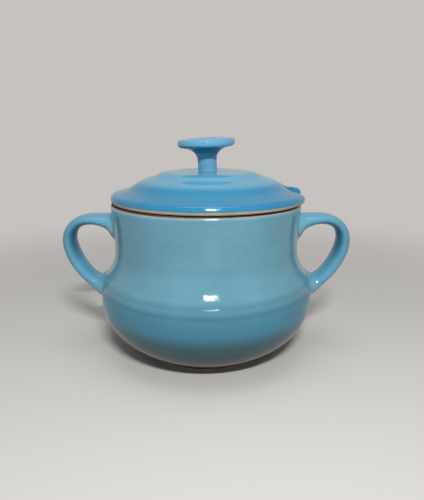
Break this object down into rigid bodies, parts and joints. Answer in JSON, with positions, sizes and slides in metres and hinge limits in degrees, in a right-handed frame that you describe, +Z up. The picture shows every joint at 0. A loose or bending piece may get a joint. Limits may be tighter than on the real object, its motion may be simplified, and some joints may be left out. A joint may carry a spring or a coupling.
{
  "type": "lidded soup bowl",
  "caption": "Round-bellied stoneware soup bowl with two loop handles and a stepped lid that has a mushroom knob, a locating flange and a spoon notch.",
  "frame": {"origin": "on the table, under the middle of the bowl", "axes": "+X to the right handle and the lid's spoon notch, +Y to the back, +Z up"},
  "size_m": [0.1566, 0.115, 0.1155],
  "materials": {
    "bowl_glaze": "glossy blue glaze, greyer than the lid's, breaking to warm beige at the foot; bare clay on the foot ring",
    "handle_glaze": "glossy light blue glaze",
    "lid_glaze": "glossy blue glaze, lighter in the middle and deeper on the brim; bare clay on the seat and flange",
    "knob_glaze": "glossy light blue glaze"
  },
  "bodies": {
    "bowl": {"bowl": "bowl_glaze", "left_handle": "handle_glaze", "right_handle": "handle_glaze"},
    "lid": {"lid": "lid_glaze", "lid_knob": "knob_glaze"}
  },
  "joints": [
    {"name": "lid_lift", "type": "slide", "parent": "bowl", "child": "lid", "axis": [0, 0, 1], "range_m": [0, 0.08]}
  ]
}
